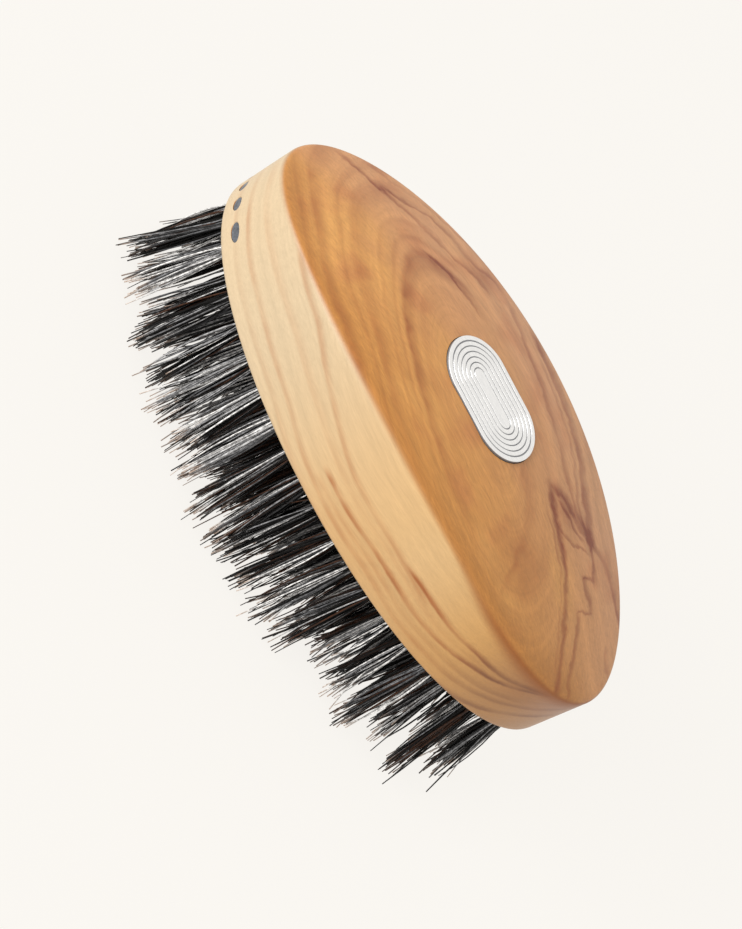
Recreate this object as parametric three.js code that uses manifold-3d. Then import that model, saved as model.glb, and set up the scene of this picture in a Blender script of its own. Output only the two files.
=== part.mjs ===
// Palm beard brush, drawn-tuft construction.
// One piece of olive wood, eight blind drawing channels drilled from the head end,
// tufts folded over a drawing thread in each channel, a plug in every channel mouth
// and a stadium shaped metal medallion glued into a recess on the crown.
// Millimetres, +Z up, standing on the bristle tips, +X from the head end to the tail end.
import * as THREE from 'three';
import { mergeVertices } from 'three/addons/utils/BufferGeometryUtils.js';
import Module from 'manifold-3d';

const wasm = await Module();
wasm.setup();

// Overall sizes
const STOCK_LENGTH = 105;
const STOCK_WIDTH = 48;
const OUTLINE_POWER = 2.05; // 2 is a true ellipse, a little more fills the shoulders
const BRISTLE_LENGTH = 24;
const CROWN_THICKNESS = 25.6; // stock thickness in the middle
const END_THICKNESS = 15.1; // stock thickness at the head and the tail
const SIDE_THICKNESS = 22.7; // stock thickness in the middle of each long side
const FOOT_CHAMFER = 1.2; // eased lower edge of the stock
const CREASE_SOFTENING = 0.9; // eased edge between side wall and crown

// Drawing channels
const CHANNEL_COUNT = 8;
const CHANNEL_RADIUS = 1.05;
const CHANNEL_HEIGHT = 4.4; // above the bristle face
const HEAD_PITCH = 3.5; // channel spacing at the head end
const OUTER_WOOD = 7.55; // side wall to the middle of the outermost channel, half way along
const PLUG_RADIUS = 1.05;
const PLUG_LENGTH = 4;
const THREAD_RADIUS = 0.42;

// Tufts
const TUFT_PITCH = 5.5; // along a channel
const TUFT_RADIUS = 1.3;
const TUFT_SIDES = 6;
const FIELD_INSET = 4.6; // wood left between the edge of the stock and the nearest tuft
const TIP_INSET = 0.8; // middle of the outermost tips inside the side wall above them
const TIP_SPREAD = 1.1; // lengthwise distance of a tip from the middle over that of its root

// Medallion
const MEDALLION_LENGTH = 23.2;
const MEDALLION_WIDTH = 14.3;
const MEDALLION_THICKNESS = 1.2;
const MEDALLION_STAND = 0.05; // face above the crown, in the middle
const RIM_WIDTH = 0.8;
const GROOVE_COUNT = 3;
const GROOVE_DEPTH = 0.15;
const PAD_THICKNESS = 0.25;

// Clearances
const GAP = 0.3;

// Derived sizes
const HALF_LENGTH = STOCK_LENGTH / 2;
const HALF_WIDTH = STOCK_WIDTH / 2;
const FACE_Z = BRISTLE_LENGTH;
const CHANNEL_Z = FACE_Z + CHANNEL_HEIGHT;
const CROWN_Z = FACE_Z + CROWN_THICKNESS;
const END_DROP = (CROWN_THICKNESS - END_THICKNESS) / HALF_LENGTH ** 2;
const SIDE_DROP = (CROWN_THICKNESS - SIDE_THICKNESS) / HALF_WIDTH ** 2;
const OUTER_ROW = (CHANNEL_COUNT - 1) / 2;
const WAIST_PITCH = (HALF_WIDTH - OUTER_WOOD) / OUTER_ROW;
const PITCH_GROWTH = (WAIST_PITCH - HEAD_PITCH) / HALF_LENGTH;
const FOLD_DEPTH = THREAD_RADIUS + GAP; // top of a tuft below the middle of its thread
const HOLE_RADIUS = (TUFT_RADIUS + GAP) / Math.cos(Math.PI / TUFT_SIDES);
const MOUTH_RADIUS = (PLUG_RADIUS + GAP) / Math.cos(Math.PI / 12);

const OUTLINE_STEPS = 88;
const DOWN = new THREE.Vector3(0, 0, -1);

// Solids

function solidFrom(geometry) {
  const plain = geometry.clone();
  plain.deleteAttribute('normal');
  plain.deleteAttribute('uv');
  const merged = mergeVertices(plain, 1e-4);
  const mesh = new wasm.Mesh({
    numProp: 3,
    vertProperties: new Float32Array(merged.attributes.position.array),
    triVerts: new Uint32Array(merged.index.array),
  });
  return new wasm.Manifold(mesh);
}

function geometryFrom(solid) {
  const mesh = solid.getMesh();
  const geometry = new THREE.BufferGeometry();
  const points = new THREE.BufferAttribute(new Float32Array(mesh.vertProperties), 3);
  geometry.setAttribute('position', points);
  geometry.setIndex(new THREE.BufferAttribute(new Uint32Array(mesh.triVerts), 1));
  geometry.computeVertexNormals();
  return geometry;
}

function union(solids) {
  let rest = solids;
  while (rest.length > 1) {
    const next = [];
    for (let i = 0; i < rest.length; i += 2) {
      next.push(i + 1 < rest.length ? rest[i].add(rest[i + 1]) : rest[i]);
    }
    rest = next;
  }
  return rest[0];
}

// A closed skin over rings of points that run counter-clockwise seen from above,
// listed from the lowest ring to the highest. The top can rise to a peak of its own.
function skinGeometry(rings, peak) {
  const count = rings[0].length;
  const points = rings.flat();
  const middleOf = (ring) => {
    const middle = new THREE.Vector3();
    ring.forEach((point) => middle.addScaledVector(point, 1 / count));
    return middle;
  };
  const bottom = points.push(middleOf(rings[0])) - 1;
  const top = points.push(peak ?? middleOf(rings[rings.length - 1])) - 1;
  const faces = [];
  for (let i = 0; i < count; i += 1) {
    const j = (i + 1) % count;
    faces.push(bottom, j, i);
    for (let r = 0; r + 1 < rings.length; r += 1) {
      const low = r * count;
      const high = low + count;
      faces.push(low + i, low + j, high + j);
      faces.push(low + i, high + j, high + i);
    }
    const last = (rings.length - 1) * count;
    faces.push(last + i, last + j, top);
  }
  const geometry = new THREE.BufferGeometry().setFromPoints(points);
  geometry.setIndex(faces);
  return geometry;
}

// A round bar between two points.
function bar(from, to, radius, sides, turn = 0) {
  const length = from.distanceTo(to);
  const geometry = new THREE.CylinderGeometry(radius, radius, length, sides);
  geometry.rotateY(turn);
  const direction = to.clone().sub(from).normalize();
  const aim = new THREE.Quaternion().setFromUnitVectors(new THREE.Vector3(0, 1, 0), direction);
  geometry.applyQuaternion(aim);
  geometry.translate((from.x + to.x) / 2, (from.y + to.y) / 2, (from.z + to.z) / 2);
  return geometry;
}

// The stock

function outlineHalfWidth(x, inset = 0) {
  const share = Math.min(1, Math.abs(x) / (HALF_LENGTH - inset));
  return (HALF_WIDTH - inset) * (1 - share ** OUTLINE_POWER) ** (1 / OUTLINE_POWER);
}

function crownHeight(x, y) {
  return CROWN_Z - END_DROP * x * x - SIDE_DROP * y * y;
}

function outlinePoint(angle, inset) {
  const bend = 2 / OUTLINE_POWER;
  const c = Math.cos(angle);
  const s = Math.sin(angle);
  const x = Math.sign(c) * Math.abs(c) ** bend * (HALF_LENGTH - inset);
  const y = Math.sign(s) * Math.abs(s) ** bend * (HALF_WIDTH - inset);
  return new THREE.Vector2(x, y);
}

function outlineRing(inset, heightAt) {
  const ring = [];
  for (let i = 0; i < OUTLINE_STEPS; i += 1) {
    const point = outlinePoint((i / OUTLINE_STEPS) * Math.PI * 2, inset);
    ring.push(new THREE.Vector3(point.x, point.y, heightAt(point.x, point.y)));
  }
  return ring;
}

function stockGeometry() {
  const soft = CREASE_SOFTENING;
  const rings = [
    outlineRing(FOOT_CHAMFER, () => FACE_Z),
    outlineRing(0, () => FACE_Z + FOOT_CHAMFER),
    outlineRing(0, (x, y) => crownHeight(x, y) - soft),
    outlineRing(soft * 0.3, (x, y) => crownHeight(x, y) - soft * 0.3),
    outlineRing(soft, (x, y) => crownHeight(x, y)),
  ];
  for (const share of [0.82, 0.66, 0.5, 0.34, 0.17]) {
    const ring = rings[4].map(({ x, y }) => {
      return new THREE.Vector3(x * share, y * share, crownHeight(x * share, y * share));
    });
    rings.push(ring);
  }
  return skinGeometry(rings, new THREE.Vector3(0, 0, CROWN_Z));
}

// Channels, threads and tufts

function channelIndex(n) {
  return n - OUTER_ROW;
}

function channelPitch(x) {
  return HEAD_PITCH + PITCH_GROWTH * (x + HALF_LENGTH);
}

function channelPoint(n, x) {
  return new THREE.Vector3(x, channelIndex(n) * channelPitch(x), CHANNEL_Z);
}

// Where a channel breaks through the wall at the head end.
function mouthX(n) {
  let x = 0;
  while (Math.abs(channelPoint(n, x).y) < outlineHalfWidth(x)) x -= 0.05;
  return x;
}

function tuftStations(n) {
  const inField = (x) => Math.abs(channelPoint(n, x).y) < outlineHalfWidth(x, FIELD_INSET);
  const stations = [];
  for (let x = -HALF_LENGTH; x < HALF_LENGTH; x += 0.1) {
    if (inField(x)) stations.push(x);
  }
  const first = stations[0];
  const last = stations[stations.length - 1];
  const spaces = Math.round((last - first) / TUFT_PITCH);
  const step = (last - first) / spaces;
  return Array.from({ length: spaces + 1 }, (_, i) => first + i * step);
}

// Tips are shared out evenly over the width of the bristle field, so each tuft leans
// outward from its channel by as much as its place in the field needs.
function rowsAcross(x) {
  const edgeRow = outlineHalfWidth(x, FIELD_INSET) / channelPitch(x);
  return THREE.MathUtils.clamp(edgeRow, 1, OUTER_ROW);
}

function tipPitch(x) {
  const share = Math.abs(x) / (HALF_LENGTH - FIELD_INSET + 1.5);
  const reach = (HALF_WIDTH - TIP_INSET) * (1 - share ** OUTLINE_POWER) ** (1 / OUTLINE_POWER);
  return Math.max(reach / rowsAcross(x), channelPitch(x) * 1.08);
}

function tipPoint(n, x) {
  return new THREE.Vector3(x * TIP_SPREAD, channelIndex(n) * tipPitch(x), 0);
}

function tuftStep(n) {
  const stations = tuftStations(n);
  return (stations[stations.length - 1] - stations[0]) / (stations.length - 1);
}

function along(from, to, distance) {
  const direction = to.clone().sub(from).normalize();
  return from.clone().addScaledVector(direction, distance);
}

// One tuft: a straight shank in its hole, then a flare down to a flat tip.
function tuftGeometry(n, x) {
  const root = channelPoint(n, x);
  const tip = tipPoint(n, x);
  const lean = tip.clone().sub(root).normalize();
  const sides = TUFT_SIDES;
  const aim = new THREE.Quaternion().setFromUnitVectors(DOWN, lean);
  const across = new THREE.Vector3(1, 0, 0).applyQuaternion(aim);
  const beside = new THREE.Vector3(0, 1, 0).applyQuaternion(aim);
  const halfAlong = (tuftStep(n) * TIP_SPREAD) / 2 + GAP;
  const halfAcross = Math.min(tipPitch(x) - GAP * 1.6, 6) / 2;
  const roundRing = (middle, radius) => {
    const ring = [];
    for (let i = 0; i < sides; i += 1) {
      const angle = ((i + 0.5) / sides) * Math.PI * 2;
      const point = middle.clone();
      point.addScaledVector(across, Math.cos(angle) * radius);
      point.addScaledVector(beside, Math.sin(angle) * radius);
      ring.push(point);
    }
    return ring;
  };
  const tipRing = [];
  for (let i = 0; i < sides; i += 1) {
    const angle = ((i + 0.5) / sides) * Math.PI * 2;
    const dx = (Math.cos(angle) / Math.cos(Math.PI / sides)) * halfAlong;
    const dy = Math.sin(angle) * halfAcross;
    tipRing.push(new THREE.Vector3(tip.x + dx, tip.y + dy, tip.z));
  }
  const mouth = CHANNEL_HEIGHT / -lean.z;
  const neck = roundRing(along(root, tip, mouth + 0.6), TUFT_RADIUS);
  const fold = roundRing(along(root, tip, FOLD_DEPTH), TUFT_RADIUS);
  return skinGeometry([tipRing, neck, fold]);
}

function tuftHole(n, x) {
  const root = channelPoint(n, x);
  const tip = tipPoint(n, x);
  const bottom = along(root, tip, THREAD_RADIUS / 2);
  const mouth = along(root, tip, CHANNEL_HEIGHT + 2);
  return bar(bottom, mouth, HOLE_RADIUS, TUFT_SIDES, Math.PI / TUFT_SIDES);
}

function threadEnds(n) {
  const stations = tuftStations(n);
  const start = channelPoint(n, stations[0] - 1.9);
  const end = channelPoint(n, stations[stations.length - 1] + 2.4);
  return [start, end];
}

function plugEnds(n) {
  const outside = channelPoint(n, mouthX(n) - 2);
  const inside = along(channelPoint(n, mouthX(n)), channelPoint(n, 0), plugDepth(n));
  return [outside, inside];
}

function plugDepth(n) {
  const thread = threadEnds(n)[0];
  const mouth = channelPoint(n, mouthX(n));
  return Math.min(PLUG_LENGTH, mouth.distanceTo(thread) - GAP);
}

// The medallion is a stadium: a rectangle closed by two half circles.
function stadiumShape(inset, steps = 9) {
  const radius = MEDALLION_WIDTH / 2 - inset;
  const straight = (MEDALLION_LENGTH - MEDALLION_WIDTH) / 2;
  const shape = new THREE.Shape();
  for (let side = 0; side < 2; side += 1) {
    for (let i = 0; i <= steps; i += 1) {
      const angle = -Math.PI / 2 + side * Math.PI + (i / steps) * Math.PI;
      const x = Math.cos(angle) * radius + (side === 0 ? straight : -straight);
      const y = Math.sin(angle) * radius;
      if (side === 0 && i === 0) shape.moveTo(x, y);
      else shape.lineTo(x, y);
    }
  }
  shape.closePath();
  return shape;
}

function stadiumSlab(inset, low, high) {
  const options = { depth: high - low, bevelEnabled: false };
  return new THREE.ExtrudeGeometry(stadiumShape(inset), options).translate(0, 0, low);
}

const medallionTop = CROWN_Z + MEDALLION_STAND;
const medallionBottom = medallionTop - MEDALLION_THICKNESS;
const padTop = medallionBottom - GAP;
const padBottom = padTop - PAD_THICKNESS;
const recessFloor = padBottom - GAP;

// Parts

const materials = {
  wood: { color: 0xc08a52, roughness: 0.5, metalness: 0 },
  metal: { color: 0xd9dadb, roughness: 0.3, metalness: 1 },
  adhesive: { color: 0x8b8173, roughness: 0.8, metalness: 0 },
  plug: { color: 0x33363b, roughness: 0.35, metalness: 0 },
  thread: { color: 0xcdbf9f, roughness: 0.9, metalness: 0 },
  bristle: { color: 0x231f1d, roughness: 0.6, metalness: 0 },
};

const group = new THREE.Group();
group.name = 'beard_brush';

function addPart(name, solid, material) {
  const mesh = new THREE.Mesh(geometryFrom(solid), new THREE.MeshStandardMaterial(material));
  mesh.name = name;
  group.add(mesh);
}

const stock = solidFrom(stockGeometry());
const channels = Array.from({ length: CHANNEL_COUNT }, (_, n) => n);

// Wood
const cutters = [solidFrom(stadiumSlab(-GAP, recessFloor, CROWN_Z + 5))];
for (const n of channels) {
  const [, threadEnd] = threadEnds(n);
  const [plugOutside, plugInside] = plugEnds(n);
  const end = along(threadEnd, channelPoint(n, HALF_LENGTH * 2), GAP);
  const mouthEnd = along(plugInside, threadEnd, GAP / 2);
  const line = [
    solidFrom(bar(plugOutside, end, CHANNEL_RADIUS, 6, Math.PI / 6)),
    solidFrom(bar(plugOutside, mouthEnd, MOUTH_RADIUS, 12)),
  ];
  for (const x of tuftStations(n)) line.push(solidFrom(tuftHole(n, x)));
  cutters.push(union(line));
}
addPart('wood_body', stock.subtract(union(cutters)), materials.wood);

// Medallion with a rim and shallow rings inside it
let medallion = solidFrom(stadiumSlab(0, medallionBottom, medallionTop));
for (let i = 0; i < GROOVE_COUNT; i += 1) {
  const outer = RIM_WIDTH * (1 + i * 2);
  const inner = outer + RIM_WIDTH * 0.6;
  const low = medallionTop - GROOVE_DEPTH;
  const ring = solidFrom(stadiumSlab(outer, low, medallionTop + 1));
  const core = solidFrom(stadiumSlab(inner, low - 1, medallionTop + 2));
  medallion = medallion.subtract(ring.subtract(core));
}
addPart('medallion', medallion, materials.metal);
addPart('medallion_adhesive', solidFrom(stadiumSlab(0.5, padBottom, padTop)), materials.adhesive);

// Plugs are turned off flush with the wall of the stock
for (const n of channels) {
  const [outside, inside] = plugEnds(n);
  const plug = solidFrom(bar(outside, inside, PLUG_RADIUS, 12));
  addPart(`channel_plug_${n + 1}`, plug.intersect(stock), materials.plug);
}

// Drawing threads
for (const n of channels) {
  const [start, end] = threadEnds(n);
  const thread = solidFrom(bar(start, end, THREAD_RADIUS, 6));
  addPart(`drawing_thread_${n + 1}`, thread, materials.thread);
}

// Bristle rows: the tufts of a row run together where they flare out at the tips
for (const n of channels) {
  const tufts = tuftStations(n).map((x) => solidFrom(tuftGeometry(n, x)));
  addPart(`bristle_row_${n + 1}`, union(tufts), materials.bristle);
}

export default group;
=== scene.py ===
"""Looks of a palm beard brush: olive wood stock, drawn bristle tufts, plugs and a metal medallion."""

import math

import bpy
import numpy as np
from mathutils import Matrix, Vector


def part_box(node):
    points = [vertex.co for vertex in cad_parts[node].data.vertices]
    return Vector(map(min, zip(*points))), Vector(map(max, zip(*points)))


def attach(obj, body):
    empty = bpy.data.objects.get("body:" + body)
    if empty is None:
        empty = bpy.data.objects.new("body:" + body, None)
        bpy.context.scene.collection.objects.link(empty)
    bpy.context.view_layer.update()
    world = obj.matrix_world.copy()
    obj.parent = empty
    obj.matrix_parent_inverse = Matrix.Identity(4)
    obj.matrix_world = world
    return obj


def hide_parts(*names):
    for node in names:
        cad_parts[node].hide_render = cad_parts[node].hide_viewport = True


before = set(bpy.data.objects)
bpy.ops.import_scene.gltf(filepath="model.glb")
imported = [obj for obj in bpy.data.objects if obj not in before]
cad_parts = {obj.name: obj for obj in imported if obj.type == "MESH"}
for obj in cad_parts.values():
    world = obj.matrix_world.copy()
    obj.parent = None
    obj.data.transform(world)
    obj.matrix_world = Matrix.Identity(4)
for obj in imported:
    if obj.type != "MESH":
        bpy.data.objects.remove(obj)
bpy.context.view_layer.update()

MM = 0.001

# Places taken from the frame
stock_low, stock_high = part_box("wood_body")
medallion_low, medallion_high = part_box("medallion")
pad_low, pad_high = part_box("medallion_adhesive")
FACE_Z = stock_low.z
HALF_LENGTH = (stock_high.x - stock_low.x) / 2
HALF_WIDTH = (stock_high.y - stock_low.y) / 2
CHANNELS = range(1, 9)
THREAD_RADIUS = (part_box("drawing_thread_1")[1].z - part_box("drawing_thread_1")[0].z) / 2
CHANNEL_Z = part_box("drawing_thread_1")[0].z + THREAD_RADIUS
PLUG_RADIUS = (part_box("channel_plug_4")[1].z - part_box("channel_plug_4")[0].z) / 2

# The stock
OUTLINE_POWER = 2.05
CROWN_THICKNESS = 25.6 * MM
END_THICKNESS = 15.1 * MM
SIDE_THICKNESS = 22.7 * MM
CROWN_Z = FACE_Z + CROWN_THICKNESS
END_DROP = (CROWN_THICKNESS - END_THICKNESS) / HALF_LENGTH**2
SIDE_DROP = (CROWN_THICKNESS - SIDE_THICKNESS) / HALF_WIDTH**2
FOOT_RADIUS = 1.2 * MM
SHARP_CREASE = 0.8 * MM
SOFT_CREASE = 2.6 * MM
OUTLINE_STEPS = 384
CREASE_EVENING = 41

# The bristles
TUFT_PITCH = 5.5 * MM
TUFT_RADIUS = 1.3 * MM
HOLE_RADIUS = 1.42 * MM
FIELD_INSET = 4.6 * MM
TIP_INSET = -0.5 * MM
HEAD_SPREAD = 1.105
TAIL_SPREAD = 1.065
RIDGE_PITCH = 5.9 * MM
HAIRS_PER_TUFT = 48
HAIR_RADIUS = 0.15 * MM
HAIR_RINGS = 7
HAIR_SIDES = 4
CLUMPS_PER_TUFT = 7

# Colours of the wood: heartwood across the crown, sapwood along the wall from head to tail; the far-side
# heartwood holds painted sheen and the sapwood at the tail end holds painted shade
NEAR_HEARTWOOD = (173, 119, 57)
FAR_HEARTWOOD_AND_SHEEN = (181, 133, 96)
PALE_SAPWOOD = (178, 158, 128)
WARM_SAPWOOD = (186, 152, 106)
GOLDEN_SAPWOOD = (179, 134, 76)
DARKER_WOOD_AND_TAIL_SHADE = (147, 101, 60)
TAIL_END_WOOD_AND_SHADE = (157, 118, 94)

# The figure of the wood: each growth line is how wide its crisp side is, how far it fades
# on the other side, how strong it is, and the places (along, up) that it passes through.
# On the crown up is across the stock, on the wall it is height over the bristle face.
TRAIL_SPAN = 120.0
CROWN_LINES = (
    (1, 2.6, 0.85, (
        (-7, 22.4), (-1, 21.6), (4, 20.4), (9, 18.9), (15, 16.6), (21, 13.6), (25, 11.8),
        (31, 9.4),
    )),
    (0.5, 1, 0.45, (
        (-2, 20), (6, 17.6), (13, 15.2), (19, 12.4), (24, 10.4), (29, 9.6),
    )),
    (0.8, 1.8, 0.46, (
        (-13, 20.4), (-7, 18.6), (2, 15), (10, 12.2), (18, 9.9), (29, 9.6),
    )),
    (0.6, 1.4, 0.62, (
        (-50, 5.8), (-40, 8.4), (-34, 10), (-30, 12), (-24, 13), (-20, 15.4),
        (-15.5, 16.2),
    )),
    (0.6, 1.4, 0.6, (
        (-41, 8.2), (-35, 12.8), (-32.5, 15), (-29, 16.4), (-21, 17.4), (-19, 19.8),
        (-15, 21.2),
    )),
    (0.5, 1, 0.3, (
        (-46, 9.4), (-40, 13), (-33, 17.6), (-26, 20.2), (-18, 22.4),
    )),
    (0.4, 0.9, 0.62, (
        (-27.6, 5.6), (-25.6, 7.6), (-21, 8.6), (-17, 9), (-13, 9.2),
    )),
    (1.3, 1.6, 0.88, (
        (17.6, 4.6), (22, 3.2), (26, 2.2), (31, 0.4), (36, -2.6), (42, -6.2), (49.5, -11),
    )),
    (0.5, 0.8, 0.4, (
        (21, 1.8), (27, 0.4), (33, -2.4), (39, -6), (45, -10),
    )),
    (1.2, 2.6, 0.74, (
        (17.6, 4.8), (20, 6.6), (24, 8.6), (30, 9.8),
    )),
    (0.5, 1, 0.55, (
        (20.5, 5.2), (22.5, 6.4), (26, 6.8), (29, 8.2),
    )),
    (0.5, 0.9, 0.5, (
        (25, 2.8), (27, 4.2), (29, 6.2), (30.6, 8.8),
    )),
    (0.9, 1.6, 0.66, (
        (29.5, 10.4), (33, 12.4), (37, 12.9), (41, 12.5), (46, 13.2),
    )),
    (0.8, 1.4, 0.66, (
        (30, 9.6), (32.5, 8.6), (35.6, 6.8),
    )),
    (0.9, 1.5, 0.6, (
        (33.4, 4.2), (34.4, 5.4), (35.6, 7),
    )),
    (0.8, 1.4, 0.6, (
        (33.2, 4.4), (36, 4.2), (39.4, 3.4),
    )),
    (0.9, 1.5, 0.52, (
        (37.8, 0), (38.6, 1.6), (39.6, 3.6),
    )),
    (0.8, 1.4, 0.58, (
        (37.6, 0.2), (41, -1.2), (45, -4.2), (50, -8),
    )),
    (0.6, 1.2, 0.5, (
        (46, 7), (48, 5), (50.5, 5.2),
    )),
    (1.8, 3.4, 0.26, (
        (11, -0.2), (16, -1.6), (19, -3.2), (21.5, -5.4), (23.5, -8.4), (25.5, -12),
        (28.5, -17),
    )),
)
WALL_LINES = (
    (0.8, 1.6, 0.4, (
        (-36, 18.6), (-24, 17.2), (-14, 15.2), (-5.6, 13.4), (1, 12), (16, 10.4), (24, 10),
    )),
    (0.7, 1.5, 0.4, (
        (-52, 8.5), (-42, 7.6), (-26, 6.7), (-11, 4.8), (5.6, 3), (19, 2.7), (30, 3),
        (38, 4.2), (44.7, 6.8), (48.6, 9.6), (52, 13.5),
    )),
    (0.6, 1.3, 0.86, (
        (-2, 7.4), (5.6, 6.9), (16, 6.4), (26, 6.8), (34.6, 8), (40.5, 10.2), (44.7, 12.8),
        (49, 16.5),
    )),
    (0.6, 1.3, 0.9, (
        (18, 10.8), (30.4, 11.6), (38.3, 11.9), (43, 12.9), (48, 16.4),
    )),
    (0.7, 1.8, 0.55, (
        (34, -0.4), (38.3, 0.8), (44.7, 2.8), (48.6, 6), (52, 10),
    )),
    (0.8, 2.2, 0.18, (
        (-52, 12.4), (-30, 12.7), (-10, 11), (10, 8.9), (28, 8.9), (40, 11),
    )),
    (0.6, 1.6, 0.18, (
        (-52, 4.6), (-30, 4), (-10, 1.8), (6, 0.2),
    )),
    (0.6, 1.4, 0.26, (
        (-2, 5.2), (10, 4.6), (22, 4.6), (34, 5.6), (42, 7.6), (47, 10.5),
    )),
)


# ---------------------------------------------------------------- finishes


class Field:
    """A number, colour or direction that varies over a surface."""

    def __init__(self, finish, socket):
        self.finish = finish
        self.socket = socket

    def __add__(self, other):
        return self.finish.maths("ADD", self, other)

    def __radd__(self, other):
        return self.finish.maths("ADD", other, self)

    def __sub__(self, other):
        return self.finish.maths("SUBTRACT", self, other)

    def __rsub__(self, other):
        return self.finish.maths("SUBTRACT", other, self)

    def __mul__(self, other):
        return self.finish.maths("MULTIPLY", self, other)

    def __rmul__(self, other):
        return self.finish.maths("MULTIPLY", other, self)

    def __truediv__(self, other):
        return self.finish.maths("DIVIDE", self, other)

    def __pow__(self, other):
        return self.finish.maths("POWER", self, other)

    def __abs__(self):
        return self.finish.maths("ABSOLUTE", self)


class Finish:
    """One material while it is being mixed."""

    def __init__(self, name):
        self.material = bpy.data.materials.new(name)
        self.material.use_nodes = True
        self.tree = self.material.node_tree
        self.tree.nodes.clear()

    def node(self, kind, settings=None, sockets=None, output=0):
        made = self.tree.nodes.new(kind)
        for name, value in (settings or {}).items():
            if name == "stops":
                set_stops(made.color_ramp, value)
            elif name == "flow":
                made.color_ramp.interpolation = value
            else:
                setattr(made, name, value)
        for name, value in (sockets or {}).items():
            if isinstance(value, Field):
                self.tree.links.new(value.socket, made.inputs[name])
            else:
                made.inputs[name].default_value = value
        return Field(self, made.outputs[output]) if made.outputs else None

    def maths(self, operation, first, second=None):
        values = {0: first} if second is None else {0: first, 1: second}
        return self.node("ShaderNodeMath", {"operation": operation}, values)

    def place(self):
        """The point on the piece, in millimetres of the row frame."""
        metres = self.node("ShaderNodeTexCoord", output="Object")
        return self.stretch(metres, (1 / MM, 1 / MM, 1 / MM))

    def stretch(self, point, factors):
        return self.node("ShaderNodeVectorMath", {"operation": "MULTIPLY"}, {0: point, 1: factors})

    def parts(self, point):
        kind = "ShaderNodeSeparateXYZ"
        return [self.node(kind, None, {0: point}, axis) for axis in range(3)]

    def point(self, x, y, z):
        return self.node("ShaderNodeCombineXYZ", None, {0: x, 1: y, 2: z})

    def noise(self, point, scale, detail=2.0, roughness=0.5, output=0):
        sockets = {"Vector": point, "Scale": scale, "Detail": detail, "Roughness": roughness}
        return self.node("ShaderNodeTexNoise", None, sockets, output)

    def drift(self, point, scale, amount, detail=2.0):
        """The point moved about by smooth noise, by up to about half of amount."""
        colour = self.noise(point, scale, detail, output="Color")
        centred = self.node(
            "ShaderNodeVectorMath", {"operation": "SUBTRACT"}, {0: colour, 1: (0.5, 0.5, 0.5)}
        )
        moved = self.stretch(centred, (amount, amount, amount))
        return self.node("ShaderNodeVectorMath", {"operation": "ADD"}, {0: point, 1: moved})

    def rise(self, value, start, end, low=0.0, high=1.0):
        """Goes smoothly from low to high as value goes from start to end."""
        sockets = {
            "Value": value,
            "From Min": start,
            "From Max": end,
            "To Min": low,
            "To Max": high,
        }
        return self.node("ShaderNodeMapRange", {"interpolation_type": "SMOOTHSTEP"}, sockets)

    def ramp(self, value, stops):
        return self.node("ShaderNodeValToRGB", {"stops": stops}, {"Fac": value})

    def blend(self, share, first, second, how="MIX"):
        settings = {"data_type": "RGBA", "blend_type": how}
        return self.node("ShaderNodeMix", settings, {0: share, 6: first, 7: second}, 2)

    def bell(self, distance, width):
        """1 on a line, falling away on both sides of it."""
        reach = distance / width
        return self.maths("EXPONENT", reach * reach * -1.0)

    def scale(self, colour, factor):
        return self.node("ShaderNodeVectorMath", {"operation": "SCALE"}, {0: colour, "Scale": factor})

    def trail(self, along, places):
        """How high a smooth line through the places (along, up) runs, in millimetres."""
        stops = []
        for place, up in places:
            shade = up / TRAIL_SPAN + 0.5
            stops.append((place / TRAIL_SPAN + 0.5, (shade, shade, shade, 1.0)))
        settings = {"stops": stops, "flow": "B_SPLINE"}
        shade = self.node("ShaderNodeValToRGB", settings, {"Fac": along / TRAIL_SPAN + 0.5})
        return (shade - 0.5) * TRAIL_SPAN

    def grown(self, along, up, lines):
        """Dark growth lines, each fading upward from its trail and out at both ends."""
        total = 0.0
        for crisp, fade, strength, places in lines:
            start, end = places[0][0], places[-1][0]
            line = growth_line(self, up - self.trail(along, places), crisp, fade)
            soft = min(2.5, 0.25 * (end - start))
            span = self.rise(along, start - 0.6 * soft, start + soft)
            span = span * self.rise(along, end - soft, end + 0.6 * soft, 1.0, 0.0)
            total = total + line * span * strength
        return total

    def bands(self, across, scale, seed):
        """Soft bands of uneven width stacked along one measure."""
        return self.noise(self.point(across, seed, 0.0), scale, 2.0, 0.55)

    def bump(self, height, strength, distance):
        sockets = {"Height": height, "Strength": strength, "Distance": distance}
        return self.node("ShaderNodeBump", None, sockets)

    def surface(self, **sockets):
        """Finishes the material with one Principled shader."""
        values = {name.replace("_", " "): value for name, value in sockets.items()}
        shader = self.node("ShaderNodeBsdfPrincipled", None, values)
        self.node("ShaderNodeOutputMaterial", None, {"Surface": shader})
        return self.material


def set_stops(ramp, stops):
    while len(ramp.elements) < len(stops):
        ramp.elements.new(0.5)
    for element, (position, colour) in zip(ramp.elements, stops):
        element.position = position
        element.color = colour


def linear(red, green, blue):
    """A colour given as it looks on a screen, 0 to 255, as light."""
    light = []
    for value in (red, green, blue):
        share = value / 255
        dark = share <= 0.04045
        light.append(share / 12.92 if dark else ((share + 0.055) / 1.055) ** 2.4)
    return (*light, 1.0)


def growth_line(finish, distance, sharp, fade):
    """A dark line with one crisp side and one side that fades, as late wood does."""
    crisp = finish.rise(distance, -sharp, 0.0)
    fading = finish.rise(distance, 0.0, fade, 1.0, 0.0)
    return crisp * fading


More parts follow.
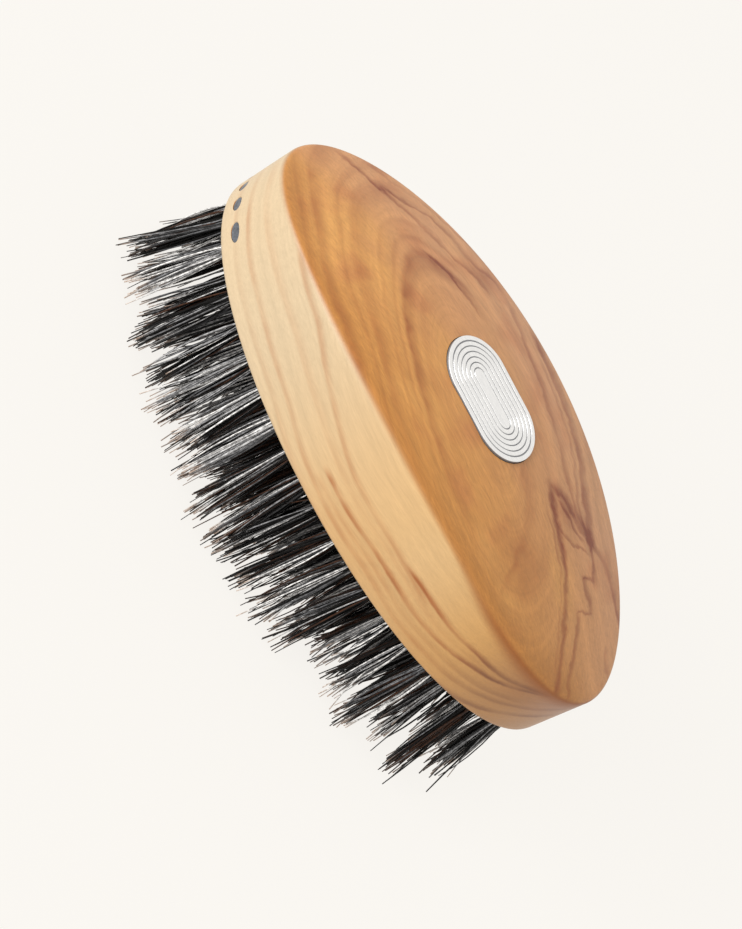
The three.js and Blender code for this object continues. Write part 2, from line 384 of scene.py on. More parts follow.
def olive_wood():
    finish = Finish("oiled_olive_wood")
    point = finish.place()
    swayed = finish.drift(point, 0.05, 3.4, 1.0)
    flow = finish.drift(swayed, 0.25, 0.8, 1.5)
    x, y, _ = finish.parts(flow)
    plain_x, plain_y, plain_z = finish.parts(point)

    # How far inside the outline a point is, and whether it is on the crown or on the wall
    share_x = abs(plain_x) / (HALF_LENGTH / MM)
    share_y = abs(plain_y) / (HALF_WIDTH / MM)
    reach = (share_x**OUTLINE_POWER + share_y**OUTLINE_POWER) ** (1 / OUTLINE_POWER)
    edge = (1.0 - reach) * (HALF_WIDTH / MM)
    facing = finish.parts(finish.node("ShaderNodeNewGeometry", output="Normal"))[2]

    # Fine grain along the stock
    fibre = finish.noise(finish.stretch(flow, (0.08, 1.0, 1.0)), 1.8, 3.0, 0.6)
    streak = finish.noise(finish.stretch(flow, (0.07, 1.0, 1.0)), 2.6, 3.0, 0.66)
    hair_grain = finish.noise(finish.stretch(point, (0.06, 1.0, 1.0)), 6.0, 2.0, 0.6)
    pores = finish.rise(finish.noise(finish.stretch(point, (0.12, 1.0, 1.0)), 8.0, 1.0), 0.64, 0.78)
    cloud = finish.noise(finish.stretch(point, (0.5, 1.0, 1.0)), 0.08, 2.0)

    # Crown: oval rings round an eye, open on the far side, and freer lines beyond them
    eye_x, eye_y, tilt = 2.0, -3.5, math.radians(-15)
    off_x, off_y = x - eye_x, y - eye_y
    along = off_x * math.cos(tilt) + off_y * math.sin(tilt)
    across = off_y * math.cos(tilt) - off_x * math.sin(tilt)
    oval = ((along / 30.0) ** 2.0 + (across / 12.5) ** 2.0) ** 0.5
    rings = 0.0
    for size, crisp, fade, strength in (
        (1.0, 0.06, 0.17, 0.70),
        (0.78, 0.05, 0.12, 0.14),
        (1.12, 0.03, 0.07, 0.22),
        (1.24, 0.03, 0.06, 0.16),
        (1.48, 0.08, 0.16, 0.34),
        (1.64, 0.04, 0.08, 0.22),
        (1.88, 0.07, 0.14, 0.42),
        (2.06, 0.05, 0.12, 0.24),
    ):
        rings = rings + growth_line(finish, size - oval, crisp, fade) * strength
    far_side = finish.rise(across, 6.0, 11.0)
    rings = rings * (1.0 - far_side) * finish.rise(along, -8.0, 16.0, 1.0, 0.22)
    knot = finish.bell(x - 25.3, 4.8) * finish.bell(y + 10.4, 4.2) * 0.52
    burl = finish.bell(x + 18.7, 2.4) * finish.bell(y - 18.2, 2.0) * 0.55
    hollow = finish.bell(x - 23.0, 4.4) * finish.bell(y - 6.4, 2.4) * 0.42
    jagged_x, jagged_y, _ = finish.parts(finish.drift(flow, 0.42, 2.0, 3.0))
    patches = finish.rise(finish.noise(flow, 0.20, 2.0, 0.5), 0.34, 0.66, 0.62, 1.08)
    veins = finish.grown(jagged_x, jagged_y, CROWN_LINES) + (rings + knot + hollow) * patches + burl
    veins = veins * (0.34 + streak * 1.25)
    fading = finish.rise(finish.noise(point, 0.11, 1.0), 0.3, 0.6, 0.62, 1.05)
    far_trail = finish.trail(x, CROWN_LINES[0][3])
    near_striae = finish.bands(oval, 9.0, 3.0) * 0.45 + finish.bands(oval, 30.0, 5.0) * 0.55
    far_striae = finish.bands(y - far_trail, 0.5, 7.0)
    striae = near_striae * (1.0 - far_side) + far_striae * far_side

    # Heartwood from golden on the near side to greyer pink on the far side: partly the wood's own colour,
    # partly painted sheen on the far side
    heartwood = finish.blend(finish.rise(y, -24.0, 24.0), linear(*NEAR_HEARTWOOD), linear(*FAR_HEARTWOOD_AND_SHEEN))
    golden = finish.rise(cloud, 0.42, 0.66) * finish.rise(plain_y, -6.0, 4.0, 0.75, 0.15)
    heartwood = finish.blend(golden, heartwood, linear(192, 140, 76))
    rosy = finish.rise(finish.noise(point, 0.10, 2.0), 0.50, 0.72) * 0.40
    heartwood = finish.blend(rosy, heartwood, linear(158, 94, 56))
    # Painted glow: a deeper orange band inside the near edge of the crown, along the crease
    near_crease_glow = finish.rise(edge, 0.6, 4.5, 1.0, 0.0) * finish.rise(plain_y, -8.0, 0.0, 1.0, 0.0)
    heartwood = finish.blend(near_crease_glow * 0.8, heartwood, linear(156, 103, 46))
    to_far_side = finish.rise(plain_y, -8.0, 8.0)
    vein_colour = finish.blend(to_far_side, linear(122, 58, 22), linear(118, 58, 32))
    heartwood = finish.blend(veins * fading, heartwood, vein_colour)
    heartwood = finish.scale(heartwood, 0.74 + striae * 0.52)

    # Wall: pale sapwood that darkens towards the tail, partly the wood's own colour and partly painted
    # shade on the tail end that faces away from the key light, with long lines that climb there
    calm_x, _, calm_z = finish.parts(swayed)
    up = calm_z - FACE_Z / MM + (fibre - 0.5) * 0.5
    sapwood = linear(*PALE_SAPWOOD)
    for start, end, colour in (
        (-30.0, 14.0, WARM_SAPWOOD),
        (16.0, 38.0, GOLDEN_SAPWOOD),
        (32.0, 46.0, DARKER_WOOD_AND_TAIL_SHADE),
        (45.0, 52.0, TAIL_END_WOOD_AND_SHADE),
    ):
        sapwood = finish.blend(finish.rise(plain_x, start, end), sapwood, linear(*colour))
    low_wall = finish.rise(up, 4.0, 14.0, 0.45, 0.0) * finish.rise(plain_x, -8.0, 14.0)
    sapwood = finish.blend(low_wall, sapwood, linear(170, 128, 78))
    wall_fading = finish.rise(finish.noise(point, 0.13, 1.0), 0.3, 0.6, 0.5, 1.0)
    wall_lines = finish.grown(calm_x, up, WALL_LINES) * wall_fading
    layers = finish.bands(up - finish.trail(calm_x, WALL_LINES[1][3]), 0.55, 11.0)
    to_tail = finish.rise(plain_x, 28.0, 44.0)
    line_colour = finish.blend(to_tail, linear(142, 82, 36), linear(96, 52, 28))
    sapwood = finish.blend(wall_lines, sapwood, line_colour)
    sapwood = finish.scale(sapwood, 0.86 + layers * 0.28)

    fall_x = plain_x * plain_x * (END_DROP * MM)
    fall_y = plain_y * plain_y * (SIDE_DROP * MM)
    top = CROWN_THICKNESS / MM - fall_x - fall_y
    below_crease = top - (plain_z - FACE_Z / MM)
    # Painted shade: a dark saturated orange band just under the crease, widening and strengthening
    # towards the tail
    crease_shade_width = finish.rise(plain_x, 16.0, 40.0, 1.2, 4.0)
    tailward = finish.rise(plain_x, 14.0, 34.0, 0.45, 1.0)
    crease_shade = finish.rise(below_crease / crease_shade_width, 0.1, 1.0, 1.0, 0.0) * tailward
    sapwood = finish.blend(crease_shade, sapwood, linear(134, 76, 24))

    on_crown = finish.rise(facing, 0.30, 0.80)
    colour = finish.blend(on_crown, sapwood, heartwood)
    grain = 1.0 + (fibre - 0.5) * 0.24 + (streak - 0.5) * 0.52
    grain = grain + (hair_grain - 0.5) * 0.30 - pores * 0.12
    liveliness = 0.5 + on_crown * 0.5
    colour = finish.scale(colour, 1.0 + (grain - 1.0) * liveliness)
    gloss = 0.42 + (fibre - 0.5) * 0.16 + pores * 0.15
    relief = finish.bump(fibre * 0.6 + hair_grain * 0.4 - pores * 0.8, 0.15, 0.0001)
    return finish.surface(Base_Color=colour, Roughness=gloss, Normal=relief, Specular_IOR_Level=0.42)


def bright_plate():
    finish = Finish("bright_satin_plate")
    point = finish.place()
    height = finish.parts(point)[2]
    brushed = finish.noise(finish.stretch(point, (0.05, 1.0, 1.0)), 9.0, 3.0, 0.6)
    cloud = finish.noise(point, 0.4, 2.0)
    land = medallion_high.z / MM
    # Painted shade: the engraved groove floors are coloured dark grey and made rougher
    sunk = finish.rise(height, land - 0.13, land - 0.03, 1.0, 0.0)
    plate_land = finish.ramp(brushed, [(0.3, linear(228, 229, 231)), (0.7, linear(250, 250, 250))])
    colour = finish.blend(sunk * 0.8, plate_land, linear(112, 114, 120))
    gloss = 0.40 + (brushed - 0.5) * 0.10 + cloud * 0.06 + sunk * 0.2
    relief = finish.bump(brushed, 0.08, 0.00004)
    return finish.surface(Base_Color=colour, Metallic=1.0, Roughness=gloss, Normal=relief)


def dark_horn():
    finish = Finish("dark_polished_horn")
    point = finish.place()
    cloud = finish.noise(point, 0.9, 3.0, 0.6)
    streaks = finish.noise(finish.stretch(point, (0.2, 1.0, 1.0)), 5.0, 2.0)
    tone = cloud * 0.6 + streaks * 0.4
    colour = finish.ramp(tone, [(0.35, linear(38, 41, 47)), (0.65, linear(86, 91, 100))])
    gloss = 0.28 + streaks * 0.12
    relief = finish.bump(streaks, 0.1, 0.00005)
    return finish.surface(Base_Color=colour, Roughness=gloss, Normal=relief, Specular_IOR_Level=0.6)


def stiff_bristle():
    finish = Finish("stiff_natural_bristle")
    settings = {"attribute_type": "GEOMETRY", "attribute_name": "hair_tone"}
    tone = finish.node("ShaderNodeAttribute", settings, None, "Fac")
    settings = {"attribute_type": "GEOMETRY", "attribute_name": "hair_along"}
    along = finish.node("ShaderNodeAttribute", settings, None, "Fac")
    point = finish.place()
    mottle = finish.noise(point, 1.4, 2.0)
    # Hairs are brown, black or grey to near white by tone; the grey to white tones are painted glints
    # standing in for highlights on glossy black hair
    shaft = finish.ramp(
        tone,
        [
            (0.0, (0.060, 0.024, 0.012, 1)),
            (0.16, (0.045, 0.018, 0.009, 1)),
            (0.24, (0.001, 0.001, 0.001, 1)),
            (0.50, (0.001, 0.001, 0.001, 1)),
            (0.56, (0.130, 0.132, 0.140, 1)),
            (0.70, (0.400, 0.400, 0.410, 1)),
            (0.84, (0.820, 0.810, 0.800, 1)),
        ],
    )
    shaded = finish.blend(finish.rise(mottle, 0.35, 0.65, 0.0, 0.55), shaft, (0.006, 0.005, 0.005, 1))
    worn = finish.rise(along, 0.86, 1.0) * finish.rise(tone, 0.42, 0.70) * 0.55
    tipped = finish.blend(worn, shaded, linear(186, 152, 124))
    gloss = 0.30 + (mottle - 0.5) * 0.2
    return finish.surface(Base_Color=tipped, Roughness=gloss, Specular_IOR_Level=0.14)


def waxed_linen():
    finish = Finish("waxed_linen_thread")
    point = finish.place()
    fibre = finish.noise(finish.stretch(point, (0.6, 1.0, 1.0)), 8.0, 3.0, 0.6)
    colour = finish.ramp(fibre, [(0.3, linear(176, 158, 122)), (0.7, linear(222, 206, 170))])
    relief = finish.bump(fibre, 0.3, 0.00005)
    return finish.surface(Base_Color=colour, Roughness=0.7 + fibre * 0.2, Normal=relief)


def cured_adhesive():
    finish = Finish("cured_adhesive")
    point = finish.place()
    cloud = finish.noise(point, 0.6, 3.0)
    colour = finish.ramp(cloud, [(0.3, linear(132, 118, 98)), (0.7, linear(168, 154, 130))])
    relief = finish.bump(cloud, 0.3, 0.0001)
    return finish.surface(Base_Color=colour, Roughness=0.45 + cloud * 0.3, Normal=relief)


# ---------------------------------------------------------------- shapes


def mesh_piece(name, points, faces, material, sharp_angle=35):
    mesh = bpy.data.meshes.new(name)
    mesh.from_pydata([tuple(p) for p in points], [], faces)
    mesh.update()
    mesh.shade_smooth()
    if sharp_angle:
        mesh.set_sharp_from_angle(angle=math.radians(sharp_angle))
    if material:
        mesh.materials.append(material)
    piece = bpy.data.objects.new(name, mesh)
    bpy.context.scene.collection.objects.link(piece)
    return piece


def stacked_rings(rings):
    """Points and faces of a closed skin over rings listed from the lowest to the highest."""
    count = len(rings[0])
    points = np.concatenate(rings)
    faces = [list(range(count))[::-1]]
    for level in range(len(rings) - 1):
        low = level * count
        high = low + count
        for i in range(count):
            j = (i + 1) % count
            faces.append([low + i, low + j, high + j, high + i])
    last = (len(rings) - 1) * count
    faces.append([last + i for i in range(count)])
    return points, faces


def rod_skin(path, radii, sides=24):
    """A closed round rod through the points of a path, with its own radius at each."""
    path = np.asarray(path, float)
    tangents = np.gradient(path, axis=0)
    tangents /= np.linalg.norm(tangents, axis=1)[:, None]
    rings = []
    for centre, tangent, radius in zip(path, tangents, radii):
        side = np.cross(tangent, (0.13, 0.24, 0.96) if abs(tangent[2]) < 0.9 else (1, 0, 0))
        side /= np.linalg.norm(side)
        other = np.cross(tangent, side)
        angles = np.arange(sides) * 2 * math.pi / sides
        spokes = np.outer(np.cos(angles), side) + np.outer(np.sin(angles), other)
        rings.append(centre + radius * spokes)
    return stacked_rings(rings)


def joined(skins):
    points, faces, offset = [], [], 0
    for skin_points, skin_faces in skins:
        points.append(skin_points)
        faces += [[offset + i for i in face] for face in skin_faces]
        offset += len(skin_points)
    return np.concatenate(points), faces


def outline_half_width(x, inset=0.0):
    share = min(1.0, abs(x) / (HALF_LENGTH - inset))
    return (HALF_WIDTH - inset) * (1 - share**OUTLINE_POWER) ** (1 / OUTLINE_POWER)


def crown_height(x, y):
    return CROWN_Z - END_DROP * x * x - SIDE_DROP * y * y


def stock_skin():
    angles = np.arange(OUTLINE_STEPS) * 2 * math.pi / OUTLINE_STEPS
    bend = 2 / OUTLINE_POWER
    c, s = np.cos(angles), np.sin(angles)
    edge_x = np.sign(c) * np.abs(c) ** bend * HALF_LENGTH
    edge_y = np.sign(s) * np.abs(s) ** bend * HALF_WIDTH
    out_x = np.sign(edge_x) * np.abs(edge_x / HALF_LENGTH) ** (OUTLINE_POWER - 1) / HALF_LENGTH
    out_y = np.sign(edge_y) * np.abs(edge_y / HALF_WIDTH) ** (OUTLINE_POWER - 1) / HALF_WIDTH
    size = np.hypot(out_x, out_y)
    out_x, out_y = out_x / size, out_y / size

    def ring(inset, height):
        x = edge_x - out_x * inset
        y = edge_y - out_y * inset
        return np.stack([x, y, height(x, y) if callable(height) else np.full_like(x, height)], 1)

    rings = []
    for step in range(6):
        turn = step / 5 * math.pi / 2
        inset = FOOT_RADIUS * (1 - math.sin(turn))
        rings.append(ring(inset, FACE_Z + FOOT_RADIUS * (1 - math.cos(turn))))
    flank = np.clip(np.abs(edge_y) / HALF_WIDTH, 0, 1) ** 2
    roundness = np.where(edge_y > 0, 0.1, np.where(edge_x > -20 * MM, 1.0, 0.45))
    crease = SHARP_CREASE + (SOFT_CREASE - SHARP_CREASE) * flank * roundness
    evened = np.convolve(np.tile(crease, 3), np.ones(CREASE_EVENING) / CREASE_EVENING, "same")
    crease = evened[OUTLINE_STEPS : 2 * OUTLINE_STEPS]
    crease_z = crown_height(edge_x, edge_y)
    foot_top = FACE_Z + FOOT_RADIUS
    for step in range(1, 13):
        share = step / 12
        height = foot_top + (crease_z - crease - foot_top) * share
        rings.append(np.stack([edge_x, edge_y, height], 1))
    inner_x = edge_x - out_x * crease
    inner_y = edge_y - out_y * crease
    inner_z = crown_height(inner_x, inner_y)
    for step in range(1, 9):
        t = step / 8
        w0, w1, w2 = (1 - t) ** 2, 2 * t * (1 - t), t * t
        x = (w0 + w1) * edge_x + w2 * inner_x
        y = (w0 + w1) * edge_y + w2 * inner_y
        height = w0 * (crease_z - crease) + w1 * crease_z + w2 * inner_z
        rings.append(np.stack([x, y, height], 1))
    for share in np.linspace(0.975, 0.02, 46):
        x, y = inner_x * share, inner_y * share
        rings.append(np.stack([x, y, crown_height(x, y)], 1))
    return stacked_rings(rings)


def channel_ends(n):
    low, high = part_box(f"drawing_thread_{n}")
    side = 1 if low.y + high.y > 0 else -1
    inner = min(abs(low.y), abs(high.y)) + THREAD_RADIUS
    outer = max(abs(low.y), abs(high.y)) - THREAD_RADIUS
    return np.array([low.x, side * inner, CHANNEL_Z]), np.array([high.x, side * outer, CHANNEL_Z])


def channel_point(n, x):
    start, end = channel_ends(n)
    return start + (end - start) * (x - start[0]) / (end[0] - start[0])


def row_number(n):
    return n - 4.5


def tuft_stations(n):
    start, end = channel_ends(n)
    first, last = start[0] + 1.9 * MM, end[0] - 2.4 * MM
    spaces = round((last - first) / TUFT_PITCH)
    return np.linspace(first, last, spaces + 1)


def tip_point(n, x):
    pitch = abs(channel_point(n, x)[1] / row_number(n))
    edge_row = outline_half_width(x, FIELD_INSET) / pitch
    rows = min(max(edge_row, 1.0), 3.5)
    share = abs(x) / (HALF_LENGTH - FIELD_INSET + 1.5 * MM)
    reach = (HALF_WIDTH - TIP_INSET) * max(0.0, 1 - share**OUTLINE_POWER) ** (1 / OUTLINE_POWER)
    spread = HEAD_SPREAD if x < 0 else TAIL_SPREAD
    return np.array([x * spread, row_number(n) * max(reach / rows, pitch * 1.08), 0.0])


def lean_of(n, x):
    direction = tip_point(n, x) - channel_point(n, x)
    return direction / np.linalg.norm(direction)


def mouth_x(n):
    x = 0.0
    while abs(channel_point(n, x)[1]) < outline_half_width(x):
        x -= 0.02 * MM
    return x


def stadium_ring(inset, height, radius, straight, steps=36):
    points = []
    for side in (0, 1):
        for i in range(steps + 1):
            angle = -math.pi / 2 + side * math.pi + i / steps * math.pi
            x = math.cos(angle) * (radius - inset) + (straight if side == 0 else -straight)
            points.append((x, math.sin(angle) * (radius - inset), height))
        sign = 1 if side == 0 else -1
        for i in range(1, 12):
            x = sign * straight * (1 - 2 * i / 12)
            points.append((x, sign * (radius - inset), height))
    return np.array(points)


def cut(piece, cutter, name):
    tool = piece.modifiers.new(name, "BOOLEAN")
    tool.operation = "DIFFERENCE"
    tool.object = cutter
    tool.solver = "EXACT"
    tool.use_self = False
    bpy.context.view_layer.update()
    graph = bpy.context.evaluated_depsgraph_get()
    result = bpy.data.meshes.new_from_object(piece.evaluated_get(graph))
    piece.modifiers.clear()
    piece.data = result
    bpy.data.objects.remove(cutter)


# ---------------------------------------------------------------- pieces


def make_stock(material):
    points, faces = stock_skin()
    stock = mesh_piece("olive_wood_stock", points, faces, material, None)
    radius = (medallion_high.y - medallion_low.y) / 2
    straight = (medallion_high.x - medallion_low.x) / 2 - radius
    floor = pad_low.z - 0.05 * MM
    gap = -0.12 * MM
    recess = [stadium_ring(gap, h, radius, straight) for h in (floor, CROWN_Z + 3 * MM)]
    cut(stock, mesh_piece("recess", *stacked_rings(recess), None), "recess")
    bores = []
    for n in CHANNELS:
        outside = channel_point(n, mouth_x(n) - 3 * MM)
        inside = channel_point(n, channel_ends(n)[1][0] + 0.3 * MM)
        shoulder = channel_point(n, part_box(f"channel_plug_{n}")[1].x + 0.1 * MM)
        wide, narrow = PLUG_RADIUS + 0.04 * MM, PLUG_RADIUS - 0.1 * MM
        path = [outside, shoulder, shoulder + (inside - outside) * 1e-4, inside]
        bores.append(rod_skin(path, [wide, wide, narrow, narrow], 20))
    cut(stock, mesh_piece("bores", *joined(bores), None), "bores")
    holes = []
    for n in CHANNELS:
        for x in tuft_stations(n):
            centre, lean = channel_point(n, x), lean_of(n, x)
            depth = (CHANNEL_Z - FACE_Z) / -lean[2]
            path = [centre + lean * d for d in (0.1 * MM, depth - 0.25 * MM, depth + 1.0 * MM)]
            holes.append(rod_skin(path, [HOLE_RADIUS, HOLE_RADIUS, HOLE_RADIUS + 0.9 * MM], 20))
    cut(stock, mesh_piece("holes", *joined(holes), None), "holes")
    stock.data.shade_smooth()
    stock.data.set_sharp_from_angle(angle=math.radians(32))
    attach(stock, "root")
    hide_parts("wood_body")


def make_medallion(material):
    radius = (medallion_high.y - medallion_low.y) / 2
    straight = (medallion_high.x - medallion_low.x) / 2 - radius
    low, top = medallion_low.z, medallion_high.z
    edge_radius = 0.16
    profile = [(0.2, low), (0.0, low + 0.15 * MM)]
    for step in range(6):
        turn = step / 5 * math.pi / 2
        inset = edge_radius * (1 - math.sin(math.pi / 2 - turn))
        profile.append((inset, top - edge_radius * MM * (1 - math.sin(turn))))
    profile.append((0.78, top))
    depth = 0.14 * MM
    for groove in range(6):
        start = 0.82 + groove * 0.98
        wide = 0.30 if groove == 0 else 0.24
        profile += [
            (start, top),
            (start + 0.05, top - depth * 0.8),
            (start + wide / 2, top - depth),
            (start + wide - 0.05, top - depth * 0.8),
            (start + wide, top - 0.01 * MM),
            (start + wide + 0.34, top),
        ]
    profile.append((radius / MM - 0.25, top))
    rings = [stadium_ring(inset * MM, height, radius, straight) for inset, height in profile]
    plate = mesh_piece("engraved_medallion", *stacked_rings(rings), material, 40)
    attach(plate, "root")
    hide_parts("medallion")


def make_adhesive(material):
    rng = np.random.default_rng(5)
    radius = (pad_high.y - pad_low.y) / 2
    straight = (pad_high.x - pad_low.x) / 2 - radius
    low, high = pad_low.z - 0.02 * MM, medallion_low.z - 0.02 * MM
    rings = []
    for inset, height in ((0.3, low), (0.05, low + 0.1 * MM), (0.0, (low + high) / 2), (0.2, high)):
        ring = stadium_ring(inset * MM, height, radius, straight)
        swell = 1 + 0.012 * np.interp(
            np.arange(len(ring)), np.linspace(0, len(ring), 14), rng.uniform(-1, 0.6, 14)
        )
        ring[:, :2] *= swell[:, None]
        rings.append(ring)
    pad = mesh_piece("adhesive_pad", *stacked_rings(rings), material, 50)
    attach(pad, "root")
    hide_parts("medallion_adhesive")


def wall_distance(point, direction):
    """How far along a direction a point inside the stock is from the side wall."""
    near, far = 0.0, 30 * MM
    for _ in range(40):
        middle = (near + far) / 2
        x, y = (point + direction * middle)[:2]
        inside = (abs(x) / HALF_LENGTH) ** OUTLINE_POWER + (abs(y) / HALF_WIDTH) ** OUTLINE_POWER < 1
        near, far = (middle, far) if inside else (near, middle)
    return near


def make_plug(n, material):
    inner_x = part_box(f"channel_plug_{n}")[1].x
    inside = channel_point(n, inner_x)
    outward = channel_point(n, inner_x - 1 * MM) - inside
    outward /= np.linalg.norm(outward)
    side = np.cross(outward, (0, 0, 1))
    up = np.cross(side, outward)
    sides = 32
    angles = np.arange(sides) * 2 * math.pi / sides
    spokes = np.outer(np.cos(angles), side) + np.outer(np.sin(angles), up)
    bevel = 0.2 * MM
    rings = [
        inside + spokes * (PLUG_RADIUS - bevel),
        inside + outward * bevel + spokes * PLUG_RADIUS,
    ]
    for share, sunk in ((1.0, 0.20), (0.97, 0.13), (0.9, 0.09), (0.7, 0.06), (0.4, 0.04), (0.12, 0.04)):
        ring = []
        for spoke in spokes:
            start = inside + spoke * PLUG_RADIUS * share
            ring.append(start + outward * (wall_distance(start, outward) - sunk * MM))
        rings.append(np.array(ring))
    plug = mesh_piece(f"horn_plug_{n}", *stacked_rings(rings), material, 50)
    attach(plug, "root")
    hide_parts(f"channel_plug_{n}")


def make_thread(n, material):
    start, end = channel_ends(n)
    along = (end - start) / np.linalg.norm(end - start)
    side = np.cross(along, (0, 0, 1))
    up = np.cross(side, along)
    length = np.linalg.norm(end - start)
    turns = length / (2.2 * MM)
    steps = int(turns * 10)
    strands = []
    for phase in (0, math.pi):
        t = np.linspace(0, 1, steps)
        angle = t * turns * 2 * math.pi + phase
        path = start + np.outer(t * length, along)
        path = path + 0.19 * MM * (np.outer(np.cos(angle), side) + np.outer(np.sin(angle), up))
        strands.append(rod_skin(path, np.full(steps, 0.2 * MM), 8))
    thread = mesh_piece(f"twisted_thread_{n}", *joined(strands), material, None)
    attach(thread, "root")
    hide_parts(f"drawing_thread_{n}")


def tuft_hairs(n, x, rng):
    """The middle lines of the hairs of one tuft, and a tone for each hair, which picks its colour and its
    painted glint.
    """
    root, tip = channel_point(n, x), tip_point(n, x)
    lean = lean_of(n, x)
    side = np.cross(lean, (0, 1, 0))
    side /= np.linalg.norm(side)
    other = np.cross(lean, side)
    depth = (CHANNEL_Z - FACE_Z) / -lean[2]
    base_centre = root + lean * (depth - 2.2 * MM)
    neck_centre = root + lean * (depth + 0.3 * MM)
    count = HAIRS_PER_TUFT
    angle = rng.uniform(0, 2 * math.pi, count)
    radius = np.sqrt(rng.uniform(0, 1, count))
    disc = np.stack([np.cos(angle) * radius, np.sin(angle) * radius], 1)
    clumps = rng.uniform(-1, 1, (CLUMPS_PER_TUFT, 2))
    nearest = np.argmin(np.linalg.norm(disc[:, None] - clumps[None], axis=2), axis=1)
    gathered = disc * 0.30 + clumps[nearest] * 0.62 + rng.normal(0, 0.19, (count, 2))
    stray = rng.uniform(0, 1, count) < 0.09
    gathered[stray] *= rng.uniform(1.2, 1.7, (stray.sum(), 1))
    flare = rng.uniform(2.3, 3.1) * MM
    nudge = rng.normal(0, 0.45 * MM, 2)

    def across(pairs, size):
        return size * (np.outer(pairs[:, 0], side) + np.outer(pairs[:, 1], other))

    shaft = TUFT_RADIUS - HAIR_RADIUS
    base = base_centre + across(disc, shaft)
    neck = neck_centre + across(disc, shaft)
    ridge = round(tip[0] / RIDGE_PITCH) * RIDGE_PITCH
    tip[0] += (ridge - tip[0]) * 0.6
    ends = tip + across(gathered, flare) + side * nudge[0] + other * nudge[1]
    reach = rng.beta(1.1, 2.1, count) * 0.30
    reach[rng.uniform(0, 1, count) < 0.12] += 0.12
    ends = neck + (ends - neck) * ((neck[:, 2] - HAIR_RADIUS) / (neck[:, 2] - ends[:, 2]))[:, None]
    ends = neck + (ends - neck) * (1 - reach)[:, None]
    bow = across(rng.normal(0, 1, (count, 2)), 0.48 * MM)
    bow[:, 2] = 0
    t = np.linspace(0, 1, HAIR_RINGS - 1)
    paths = [base]
    for share in t:
        paths.append(neck + (ends - neck) * share + bow * (4 * share * (1 - share)))
    tone = rng.uniform(0, 1, len(clumps))[nearest] * 0.45 + rng.uniform(0, 1, count) * 0.55
    return np.stack(paths, 1), tone


def make_bristles(n, material):
    rng = np.random.default_rng(100 + n)
    tufts = [tuft_hairs(n, x, rng) for x in tuft_stations(n)]
    paths = np.concatenate([hair_paths for hair_paths, _ in tufts])
    tones = np.concatenate([hair_tones for _, hair_tones in tufts])
    hairs = len(paths)
    tangents = np.gradient(paths, axis=1)
    tangents /= np.linalg.norm(tangents, axis=2)[:, :, None]
    side = np.cross(tangents, (0.31, 0.94, 0.12))
    side /= np.linalg.norm(side, axis=2)[:, :, None]
    other = np.cross(tangents, side)
    thick = HAIR_RADIUS * rng.uniform(0.72, 1.2, hairs)
    taper = np.array([1.0] * (HAIR_RINGS - 3) + [0.97, 0.90, 0.68])
    turn = rng.uniform(0, 2 * math.pi, hairs)
    rings = []
    for s in range(HAIR_SIDES):
        angle = turn + s * 2 * math.pi / HAIR_SIDES
        offset = np.cos(angle)[:, None, None] * side + np.sin(angle)[:, None, None] * other
        rings.append(paths + offset * (thick[:, None] * taper[None])[:, :, None])
    points = np.stack(rings, 2).reshape(-1, 3)
    per_hair = HAIR_RINGS * HAIR_SIDES
    pattern = [list(range(HAIR_SIDES))[::-1]]
    for level in range(HAIR_RINGS - 1):
        low, high = level * HAIR_SIDES, (level + 1) * HAIR_SIDES
        for s in range(HAIR_SIDES):
            nxt = (s + 1) % HAIR_SIDES
            pattern.append([low + s, low + nxt, high + nxt, high + s])
    pattern.append([per_hair - HAIR_SIDES + s for s in range(HAIR_SIDES)])
    starts = range(0, hairs * per_hair, per_hair)
    faces = [[start + i for i in face] for start in starts for face in pattern]
    row = mesh_piece(f"bristle_tufts_{n}", points, faces, material, None)
    tone = np.repeat(tones, per_hair).astype(np.float32)
    along = np.tile(np.repeat(np.linspace(0, 1, HAIR_RINGS), HAIR_SIDES), hairs).astype(np.float32)
    for name, values in (("hair_tone", tone), ("hair_along", along)):
        row.data.attributes.new(name, "FLOAT", "POINT").data.foreach_set("value", values)
    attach(row, "root")
    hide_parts(f"bristle_row_{n}")


# ---------------------------------------------------------------- studio

PAPER = linear(249, 246, 241)


def make_floor():
    finish = Finish("pale_studio_paper")
    fleck = finish.noise(finish.place(), 0.02, 2.0)
    shade = finish.ramp(fleck, [(0.2, (0.86, 0.84, 0.80, 1)), (0.8, (0.88, 0.86, 0.82, 1))])
    paper = finish.node("ShaderNodeBsdfDiffuse", None, {"Color": shade})
    glow = finish.node("ShaderNodeEmission", None, {"Color": PAPER, "Strength": 1.0})
    mixed = finish.node("ShaderNodeMixShader", None, {0: 0.93, 1: paper, 2: glow})
    finish.node("ShaderNodeOutputMaterial", None, {"Surface": mixed})
    size = 3.0
    corners = [(-size, -size, 0), (size, -size, 0), (size, size, 0), (-size, size, 0)]
    floor = mesh_piece("studio_floor", corners, [[0, 1, 2, 3]], finish.material, None)


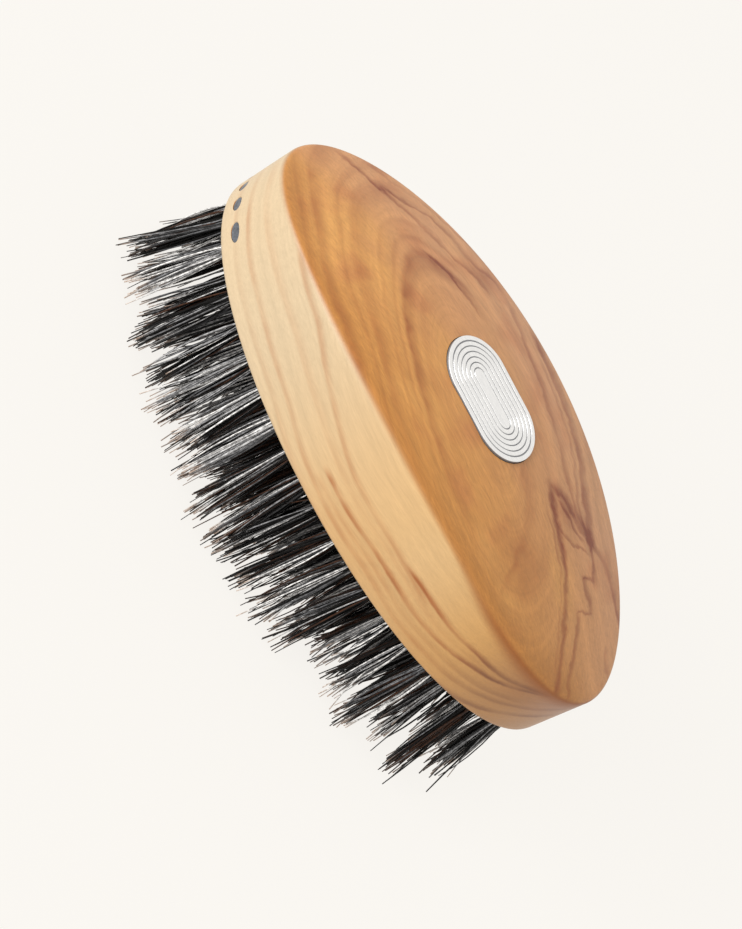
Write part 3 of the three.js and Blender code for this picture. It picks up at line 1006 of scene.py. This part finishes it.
def add_softbox(name, place, width, height, power, colour=(1.0, 1.0, 1.0)):
    lamp = bpy.data.lights.new(name, "AREA")
    lamp.shape = "RECTANGLE"
    lamp.size, lamp.size_y = width, height
    lamp.energy = power
    lamp.color = colour
    box = bpy.data.objects.new(name, lamp)
    aim = Vector((0, 0, FACE_Z)) - Vector(place)
    box.location = place
    box.rotation_euler = aim.to_track_quat("-Z", "Y").to_euler()
    bpy.context.scene.collection.objects.link(box)


def light_studio():
    world = bpy.data.worlds.new("white_room")
    world.use_nodes = True
    background = world.node_tree.nodes["Background"]
    background.inputs["Color"].default_value = PAPER
    background.inputs["Strength"].default_value = 1.0
    bpy.context.scene.world = world
    add_softbox("key_softbox", (-0.55, -0.62, 0.30), 0.7, 0.5, 9.0, (1.0, 0.985, 0.96))
    bpy.context.scene.view_settings.view_transform = "Standard"


def set_camera():
    azimuth, elevation, roll = 0.000895, 0.697608, 1.081847
    distance, aside, above = 0.4693045, -0.0027120, -0.0016951
    focal, sensor = 106.3488, 36
    toward = Vector(
        (
            math.cos(elevation) * math.sin(azimuth),
            -math.cos(elevation) * math.cos(azimuth),
            math.sin(elevation),
        )
    )
    level = (-toward).cross(Vector((0, 0, 1))).normalized()
    upright = level.cross(-toward)
    right = math.cos(roll) * level + math.sin(roll) * upright
    up = -math.sin(roll) * level + math.cos(roll) * upright
    place = Vector((0, 0, FACE_Z)) + toward * distance + right * aside + up * above
    data = bpy.data.cameras.new("studio_camera")
    data.lens = focal
    data.sensor_width = sensor
    camera = bpy.data.objects.new("studio_camera", data)
    camera.matrix_world = Matrix(
        (
            (right.x, up.x, toward.x, place.x),
            (right.y, up.y, toward.y, place.y),
            (right.z, up.z, toward.z, place.z),
            (0, 0, 0, 1),
        )
    )
    bpy.context.scene.collection.objects.link(camera)
    bpy.context.scene.camera = camera


make_stock(olive_wood())
make_medallion(bright_plate())
make_adhesive(cured_adhesive())
horn = dark_horn()
linen = waxed_linen()
bristle = stiff_bristle()
for channel in CHANNELS:
    make_plug(channel, horn)
    make_thread(channel, linen)
    make_bristles(channel, bristle)
make_floor()
light_studio()
set_camera()
